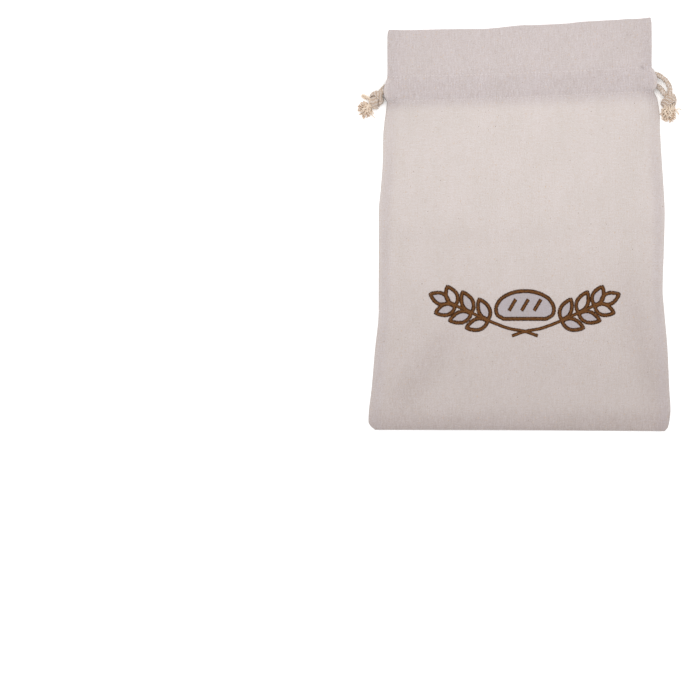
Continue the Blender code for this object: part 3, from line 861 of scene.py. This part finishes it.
for y in reversed(hem_rows):
    lay(facing_row(y, 1), y)
rim, foot = Row(down_face[0]), Row(down_face[-1])
face_rim = [rim.face(x) for x in rim.columns()]
turn_over(facing_row(rim.y, 1), face_rim, RIM_BULGE, rim.y)
first_face = len(strip)
for y in down_face:
    row = Row(y)
    lay([row.face(x) for x in row.columns()], y)
last_face = len(strip) - 1
back_foot = [foot.back(x) for x in foot.columns()]
turn_over(strip[-1], back_foot, FOLD_BULGE, foot.y)
first_back = len(strip)
for y in reversed(down_face):
    row = Row(y)
    lay([row.back(x) for x in row.columns()], y)
turn_over(strip[-1], facing_row(rim.y, -1), RIM_BULGE, rim.y)
for y in hem_rows:
    lay(facing_row(y, -1), y)

# The side seams: an edge point of the back takes the number of the face's, except at a slit
count = len(strip[0])
same = list(range(len(strip) * count))
for k in (0, count - 1):
    for i in range(first_face, last_face + 1):
        if slit(heights[i]) == 0:
            same[(last_face + first_back - i) * count + k] = i * count + k
    for i in range(last_face + 1, first_back):
        same[i * count + k] = last_face * count + k

# Faces between neighbouring rows, less those that a seam closes to a line. In their UVs, u
# is x and v is the length along the middle of the sheet, both in metres.
points = [p * MM for row in strip for p in row]
middle = count // 2
lengths = [0.0]
for a, b in zip(strip, strip[1:]):
    lengths.append(lengths[-1] + (b[middle] - a[middle]).length * MM)
faces, uvs = [], []
for i in range(len(strip) - 1):
    for k in range(count - 1):
        corners = [(i, k), (i + 1, k), (i + 1, k + 1), (i, k + 1)]
        face, spots = [], []
        for r, c in corners:
            number = same[r * count + c]
            if number not in face:
                face.append(number)
                spots.append((strip[r][c].x * MM, lengths[r]))
        if len(face) > 2:
            faces.append(face)
            uvs += spots
used = sorted({n for face in faces for n in face})
renumber = {old: new for new, old in enumerate(used)}
mesh = bpy.data.meshes.new("linen_bag")
mesh.from_pydata([tuple(points[n]) for n in used], [], [[renumber[n] for n in f] for f in faces])
mesh.uv_layers.new(name="weave").data.foreach_set("uv", [c for uv in uvs for c in uv])
rows = {y: Row(y) for y in down_face}
places = [(rows[heights[n // count]], points[n].x / MM) for n in used]
# Painted shade where the cloth is doubled and lets less light through than single cloth
layered_shade = [row.density(row.aside(x)) for row, x in places]
mesh.attributes.new("cloth_layer_shade", "FLOAT", "POINT").data.foreach_set("value", layered_shade)
# Painted shade, darker towards the bottom fold and along soft fold lines
painted_shade = [row.painted_shade(x) for row, x in places]
mesh.attributes.new("painted_shade", "FLOAT", "POINT").data.foreach_set("value", painted_shade)
mesh.polygons.foreach_set("use_smooth", [True] * len(mesh.polygons))
bag = bpy.data.objects.new("linen_bag", mesh)
bpy.context.scene.collection.objects.link(bag)
thicken = bag.modifiers.new("cloth", "SOLIDIFY")
thicken.thickness = CLOTH
thicken.offset = -1

# Unbleached linen, plain weave and washed: matt, a warm pinkish grey, with uneven yarns
# that show as fine streaks both ways and with flecks of brown husk. The real yarns lie
# 0.6 mm apart. They are drawn about 1 mm apart, since finer ones would only shimmer.
linen, tree, shader = new_material(
    "unbleached washed linen",
    {
        "Roughness": 0.88,
        "Specular IOR Level": 0.2,
        "Sheen Weight": 0.12,
        "Sheen Roughness": 0.4,
    },
)
weave_uv = add(tree, "UVMap", {"uv_map": "weave"}).outputs["UV"]

# The embroidered ornament's middle, in millimetres, and from there its right ear's grains:
# x and y of the root, length and heading in degrees
ORNAMENT = Vector((5.0, -84.0, 0.0))
GRAINS = [(76.0, 6.6, 19.5, 24)]
for x, y, length in ((37.0, -11.4, 21.5), (53.5, -4.2, 21.5), (69.5, 3.0, 19.5)):
    GRAINS += [(x - 0.5 * up, y + 1.2 * up, length, 24 + 41 * up) for up in (1, -1)]
# Ovals of the backing that the cloth lets through inside the ornament's closed shapes: x, y,
# half length, half width, heading and how strongly it shows, which differs between grains
BACKING = [
    (ORNAMENT.x, ORNAMENT.y + 3.6, 27.5, 13.0, 0, 1.0),
    (ORNAMENT.x - 17.0, ORNAMENT.y - 3.0, 11.0, 7.2, 0, 1.0),
    (ORNAMENT.x + 17.0, ORNAMENT.y - 3.0, 11.0, 7.2, 0, 1.0),
]
for i, (x, y, length, heading) in enumerate(GRAINS):
    c, s = math.cos(math.radians(heading)), math.sin(math.radians(heading))
    for way in (-1, 1):
        shown = (0.9, 0.35, 1.0)[(i + way) % 3]
        middle_x = ORNAMENT.x + way * (x + 0.5 * length * c)
        middle_y = ORNAMENT.y + y + 0.5 * length * s
        BACKING.append((middle_x, middle_y, 0.5 * length, 4.6, way * heading, shown))


def yarn_streaks(across, along, detail, offset):
    """Noise of this size across and along the bag, in metres, so that it follows its yarns."""
    place = add(
        tree,
        "Mapping",
        inputs={"Scale": (1 / across, 1 / along, 1.0), "Location": (offset, 0, 0)},
        links={"Vector": weave_uv},
    )
    return add(
        tree,
        "TexNoise",
        inputs={"Scale": 1.0, "Detail": detail, "Roughness": 0.55},
        links={"Vector": place.outputs["Vector"]},
    ).outputs["Fac"]


def tinted(ground, pattern, low, high, tint, most=1.0, how="MULTIPLY"):
    """The ground colour with a tint that grows, up to most, as the pattern goes low to high."""
    share = add(
        tree,
        "MapRange",
        inputs={"From Min": low, "From Max": high, "To Min": 0.0, "To Max": most},
        links={"Value": pattern},
    )
    return add(
        tree,
        "MixRGB",
        {"blend_type": how},
        {"Color2": linear(tint)},
        {"Fac": share.outputs["Result"], "Color1": ground},
    ).outputs["Color"]


# Painted shade: where the cloth lies in several layers, which let less light through, it is
# a little greyer, and towards the bottom fold and along soft fold lines it is a little darker
layers = add(tree, "Attribute", {"attribute_name": "cloth_layer_shade"}).outputs["Fac"]
painted_shade_share = add(tree, "Attribute", {"attribute_name": "painted_shade"}).outputs["Fac"]
ground = add(
    tree,
    "MixRGB",
    inputs={"Color1": linear("#CFC9C9"), "Color2": linear("#C9C4C8")},
    links={"Fac": layers},
).outputs["Color"]
# Painted shade darkens the cloth towards the bottom fold and along soft fold lines
ground = add(
    tree,
    "MixRGB",
    {"blend_type": "MULTIPLY"},
    {"Color2": linear("#EDEBEC")},
    {"Fac": painted_shade_share, "Color1": ground},
).outputs["Color"]
warp = yarn_streaks(0.0010, 0.010, 2.0, 3.0)
weft = yarn_streaks(0.011, 0.0010, 2.0, 9.0)
fuzz = yarn_streaks(0.0010, 0.0012, 2.0, 5.0)
cloud = yarn_streaks(0.030, 0.045, 2.0, 2.0)
slubs = yarn_streaks(0.005, 0.050, 1.0, 40.0)
for pattern, low, high, tint in (
    (warp, 0.35, 0.75, "#FAF8F6"),
    (weft, 0.35, 0.75, "#FAF7F5"),
    (fuzz, 0.30, 0.75, "#F0E9DF"),
    (cloud, 0.35, 0.70, "#FBFBFA"),
    (slubs, 0.40, 0.72, "#FDFDFC"),
):
    ground = tinted(ground, pattern, low, high, tint)
# In the same places, where washing has left it crumpled between the yarns, streaks of painted shade
# darken it
crumple_shade_mask = add(
    tree, "Math", {"operation": "MAXIMUM"}, links={0: layers, 1: painted_shade_share}
).outputs["Value"]
for along, offset in ((0.0090, 80.0), (0.0015, 90.0)):
    crumple_shade = add(
        tree,
        "MapRange",
        inputs={"From Min": 0.34, "From Max": 0.68},
        links={"Value": yarn_streaks(0.0012, along, 2.0, offset)},
    )
    share = add(
        tree,
        "Math",
        {"operation": "MULTIPLY"},
        links={0: crumple_shade.outputs["Result"], 1: crumple_shade_mask},
    )
    ground = add(
        tree,
        "MixRGB",
        {"blend_type": "MULTIPLY"},
        {"Color2": linear("#F1EEED")},
        {"Fac": share.outputs["Value"], "Color1": ground},
    ).outputs["Color"]
# Flecks of husk, paler ones along and across the bag and small dark ones: their size, the
# noise from which they show, their strength and colour
for across, along, offset, low, high, most, tint in (
    (0.0013, 0.0024, 20.0, 0.735, 0.85, 0.50, "#BE9D74"),
    (0.0034, 0.0013, 31.0, 0.750, 0.86, 0.45, "#B79C82"),
    (0.0014, 0.0018, 57.0, 0.800, 0.87, 0.70, "#7F6A5C"),
):
    flecks = yarn_streaks(across, along, 0.0, offset)
    ground = tinted(ground, flecks, low, high, tint, most, "MIX")
# Grey embroidery backing shows through the single cloth inside the ornament's closed
# outlines, where it couldn't be torn away. Each oval is centred at the height of the face
# and is too thin to reach the back.
FACE_HEIGHT, OVAL_DEPTH = 14 * MM, 12.5 * MM
object_place = add(tree, "TexCoord").outputs["Object"]
backing = None
for x, y, long, wide, heading, shown in BACKING:
    oval = add(
        tree,
        "Mapping",
        {"vector_type": "TEXTURE"},
        {
            "Location": (x * MM, y * MM, FACE_HEIGHT),
            "Rotation": (0.0, 0.0, math.radians(heading)),
            "Scale": (long * MM, wide * MM, OVAL_DEPTH),
        },
        {"Vector": object_place},
    )
    inside = add(
        tree,
        "TexGradient",
        {"gradient_type": "SPHERICAL"},
        links={"Vector": oval.outputs["Vector"]},
    )
    share = add(
        tree,
        "MapRange",
        inputs={"From Min": 0.0, "From Max": 0.06, "To Min": 0.0, "To Max": shown},
        links={"Value": inside.outputs["Fac"]},
    )
    both = add(
        tree, "Math", {"operation": "MAXIMUM"}, {1: 0.0}, {0: share.outputs["Result"]}
    )
    if backing:
        tree.links.new(backing, both.inputs[1])
    backing = both.outputs["Value"]
ground = add(
    tree,
    "MixRGB",
    {"blend_type": "MULTIPLY"},
    {"Color2": linear("#E1E2EA")},
    {"Fac": backing, "Color1": ground},
).outputs["Color"]
relief = None
for height, strength, depth in (
    (warp, 0.35, 0.25 * MM),
    (weft, 0.42, 0.25 * MM),
    (fuzz, 0.50, 0.30 * MM),
):
    bump = add(
        tree,
        "Bump",
        inputs={"Strength": strength, "Distance": depth},
        links={"Height": height},
    )
    if relief:
        tree.links.new(relief, bump.inputs["Normal"])
    relief = bump.outputs["Normal"]
tree.links.new(ground, shader.inputs["Base Color"])
tree.links.new(relief, shader.inputs["Normal"])
bag.data.materials.append(linen)
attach(bag, "root")
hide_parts("bag_cloth")

# Sewing thread
# Lockstitches of spun polyester in an off-white run across both sides along the two edges
# of the channel, and a short row holds each turned-in edge of its two slits, front and back.

# Spun polyester thread: off-white and softly shiny, with the ridges of its twist. They are
# drawn 2.5 mm apart along the thread, since the real ones are too fine to show.
thread_white, tree, shader = new_material(
    "spun polyester thread",
    {"Base Color": linear("#D3CBC8"), "Roughness": 0.6, "Specular IOR Level": 0.25},
)
thread_uv = add(tree, "UVMap", {"uv_map": "yarn"})
thread_place = add(
    tree,
    "Mapping",
    inputs={"Scale": (1.0, 1 / 0.0012, 1.0)},
    links={"Vector": thread_uv.outputs["UV"]},
)
thread_twist = add(
    tree,
    "TexWave",
    {"wave_type": "BANDS", "bands_direction": "DIAGONAL"},
    {"Scale": 0.3},
    {"Vector": thread_place.outputs["Vector"]},
)
thread_relief = add(
    tree,
    "Bump",
    inputs={"Strength": 0.4, "Distance": 0.0001},
    links={"Height": thread_twist.outputs["Fac"]},
)
tree.links.new(thread_relief.outputs["Normal"], shader.inputs["Normal"])

STITCH_PITCH = 3.5  # millimetres from one stitch to the next
STITCH_LENGTHS = (2.4, 2.8)
STITCH_SHAPE = (0, 0.2, 0.5, 0.8, 1)  # points along a stitch
BACK_RISE = (-0.25, -0.06, 0, -0.06, -0.25)  # and how far each stands off the bag's back
seams = Yarns()
pick = random.Random(12)


def stitch_row(path, side):
    """Stitches along a path of points on the cloth, whose ends sink into it."""
    gone, last = 0.0, path[0]
    start = None
    for point in path[1:]:
        gone += (point - last).length
        last = point
        if start is None:
            start = point
        if gone >= STITCH_PITCH:
            along = point - start
            if along.length > 0.5:
                reach = min(1.0, pick.uniform(*STITCH_LENGTHS) / along.length)
                up = Vector((0, 0, side))
                marks = [start.lerp(start + along, reach * t) for t in STITCH_SHAPE]
                sunk = pick.uniform(0.0, 0.12)
                stand_off = (-0.25, 0.08 - sunk, 0.16 - sunk, 0.08 - sunk, -0.25)
                if side < 0:
                    stand_off = BACK_RISE
                line = [(m + up * u) * MM for m, u in zip(marks, stand_off)]
                seams.sweep(line, 0.20 * MM, 0.17 * MM, 6)
            gone, start = 0.0, point


for y in (LOWER_STITCH, UPPER_STITCH):
    row = Row(y)
    for surface, side in ((row.face, 1), (row.back, -1)):
        span = [row.left + 1.2 + (row.right - row.left - 2.4) * i / 520 for i in range(521)]
        stitch_row([surface(x) for x in span], side)
for at_left in (True, False):
    for side in (1, -1):
        slit_edge = []
        for i in range(61):
            row = Row(LOWER_STITCH + 1.0 + (UPPER_STITCH - LOWER_STITCH - 2.0) * i / 60)
            x = row.left + 2.9 if at_left else row.right - 2.9
            slit_edge.append(row.face(x) if side > 0 else row.back(x))
        stitch_row(slit_edge, side)
stitching = seams.piece("stitching", thread_white)
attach(stitching, "root")

# Embroidery
# Two ears of wheat with crossed stems and an oval loaf between them, in satin stitch: each
# line is a column of shiny brown threads laid side by side across it, over a grey backing.

# Trilobal rayon embroidery thread: a warm brown with a silky gloss. Along v, which is 0 in
# the middle of a column, each thread has a painted highlight on the column's crown and
# painted shade where it sinks in at the sides.
rayon, tree, shader = new_material(
    "rayon embroidery thread",
    {"Roughness": 0.4, "Specular IOR Level": 0.2},
)
rayon_place = add(tree, "TexCoord")
rayon_mottle = add(
    tree,
    "TexNoise",
    inputs={"Scale": 1 / 0.0016, "Detail": 2.0},
    links={"Vector": rayon_place.outputs["Object"]},
)
rayon_lustre = add(
    tree,
    "MapRange",
    inputs={"From Min": 0.36, "From Max": 0.64},
    links={"Value": rayon_mottle.outputs["Fac"]},
)
rayon_colour = add(
    tree,
    "MixRGB",
    inputs={"Color1": linear("#331B05"), "Color2": linear("#663D18")},
    links={"Fac": rayon_lustre.outputs["Result"]},
).outputs["Color"]
thread_uv = add(tree, "UVMap", {"uv_map": "yarn"})
thread_run = add(tree, "SeparateXYZ", links={0: thread_uv.outputs["UV"]})
from_crown = add(
    tree, "Math", {"operation": "ABSOLUTE"}, links={0: thread_run.outputs["Y"]}
).outputs["Value"]
# Painted highlight near each thread's crown, and painted shade towards its sunk ends
for near, far, near_share, far_share, tint in (
    (0.0, 1.1 * MM, 0.55, 0.0, "#895A2B"),
    (1.1 * MM, 2.0 * MM, 0.0, 0.5, "#42250B"),
):
    share = add(
        tree,
        "MapRange",
        inputs={"From Min": near, "From Max": far, "To Min": near_share, "To Max": far_share},
        links={"Value": from_crown},
    )
    rayon_colour = add(
        tree,
        "MixRGB",
        inputs={"Color2": linear(tint)},
        links={"Fac": share.outputs["Result"], "Color1": rayon_colour},
    ).outputs["Color"]
tree.links.new(rayon_colour, shader.inputs["Base Color"])

# Sizes in millimetres
COLUMN, STEM_COLUMN = 4.1, 3.3  # widths of the satin columns
CUT_COLUMN = 0.9 * COLUMN
GRAIN_WIDTH = 11.0
THREAD_PITCH = 0.42  # from one thread to the next along a column
FAN_STEP = 0.24  # radians between the threads that fan out round a corner
# A thread's points: shares of the column's half width, and heights over the cloth
THREAD_ARCH = ((-1.0, -0.2), (-0.8, 0.3), (0.0, 0.75), (0.8, 0.3), (1.0, -0.2))
# Lines from the ornament's middle: the right ear's stem, and the loaf, which the threads close
STEM = [
    (-13, -27, 0), (0, -22.5, 0), (16, -19.5, 0), (31, -14, 0), (49, -6, 0), (76, 6.5, 0),
]
LOAF = [
    (-21, -10, 0), (-27.5, -6, 0), (-28.5, 2, 0), (-23, 10.5, 0), (-12, 16, 0), (0, 17.6, 0),
    (12, 16, 0), (23, 10.5, 0), (28.5, 2, 0), (27.5, -6, 0), (21, -10, 0),
]
satin = Yarns()
face_rows = {}


def on_face(x, y, lift=0.0):
    """The point this far above the face at x and y; low on the bag the rows run straight."""
    key = round(y, 1)
    if key not in face_rows:
        face_rows[key] = Row(key)
    point = face_rows[key].face(x)
    return Vector((x, y, point.z + lift))


def lay_thread(here, across, half):
    """One thread over a column, arched over its middle and sunk in at its ends."""
    across = across.normalized()
    half *= pick.uniform(0.93, 1.07)
    shift = pick.uniform(-0.12, 0.12)
    thread = []
    for share, lift in THREAD_ARCH:
        spot = here + across * (half * share + shift)
        thread.append(on_face(spot.x, spot.y, lift + pick.uniform(0, 0.05)) * MM)
    # The arch is about 1.14 times as long as the column is wide, so v is 0 at its top
    satin.sweep(thread, 0.25 * MM, 0.20 * MM, 4, start=-1.14 * half * MM)


def column(line, width, closed=False):
    """Threads laid across a line on the ornament, fanned round its corners."""
    points = [Vector((*p, 0)) + ORNAMENT for p in line]
    if closed:
        points += points[:2]
    gone, before = 0.0, None
    for a, b in zip(points, points[1:]):
        length = (b - a).length
        if length < 1e-6:
            continue
        along = (b - a) / length
        if before:
            turn = math.atan2(before.cross(along).z, before.dot(along))
            for k in range(1, int(abs(turn) / FAN_STEP) + 1):
                c, s = math.cos(k * FAN_STEP), math.copysign(math.sin(k * FAN_STEP), turn)
                way = Vector((before.x * c - before.y * s, before.x * s + before.y * c, 0))
                lay_thread(a, Vector((-way.y, way.x, 0)), width / 2)
        before, s = along, 0.0
        while gone + (length - s) >= THREAD_PITCH:
            s += THREAD_PITCH - gone
            gone = 0.0
            across = Vector((-along.y, along.x, 0)) + along * pick.uniform(-0.10, 0.16)
            lay_thread(a + along * s, across, width / 2)
        gone += length - s


def grain(root, length, width, heading):
    """The closed outline of a grain that points this way from its root, as a list of points."""
    found = []
    c, s = math.cos(math.radians(heading)), math.sin(math.radians(heading))
    for i in range(48):
        a = math.tau * i / 48
        along = length * (0.5 - 0.5 * math.cos(a))
        swell = math.sin(math.pi * (along / length) ** 0.85)
        across = width / 2 * (swell**0.8 if swell > 0 else 0) * (1 if math.sin(a) > 0 else -1)
        found.append((root[0] + along * c - across * s, root[1] + along * s + across * c))
    return found


stem = [(p.x, p.y) for p in smooth_line(STEM, 0.8)]
for way in (-1, 1):
    column([(way * x, y) for x, y in stem], STEM_COLUMN)
    for x, y, length, heading in GRAINS:
        rounded = grain((x, y), length, GRAIN_WIDTH, heading)
        column([(way * x, y) for x, y in rounded], COLUMN, closed=True)
column([(p.x, p.y) for p in smooth_line(LOAF, 0.8)], COLUMN, closed=True)
for x in (-12.5, 0, 12.5):  # the loaf's three slanting cuts
    column([(x - 3.4 + 6.8 * i / 12, -2.0 + 11.5 * i / 12) for i in range(13)], CUT_COLUMN)
embroidery = satin.piece("wheat_embroidery", rayon)
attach(embroidery, "root")
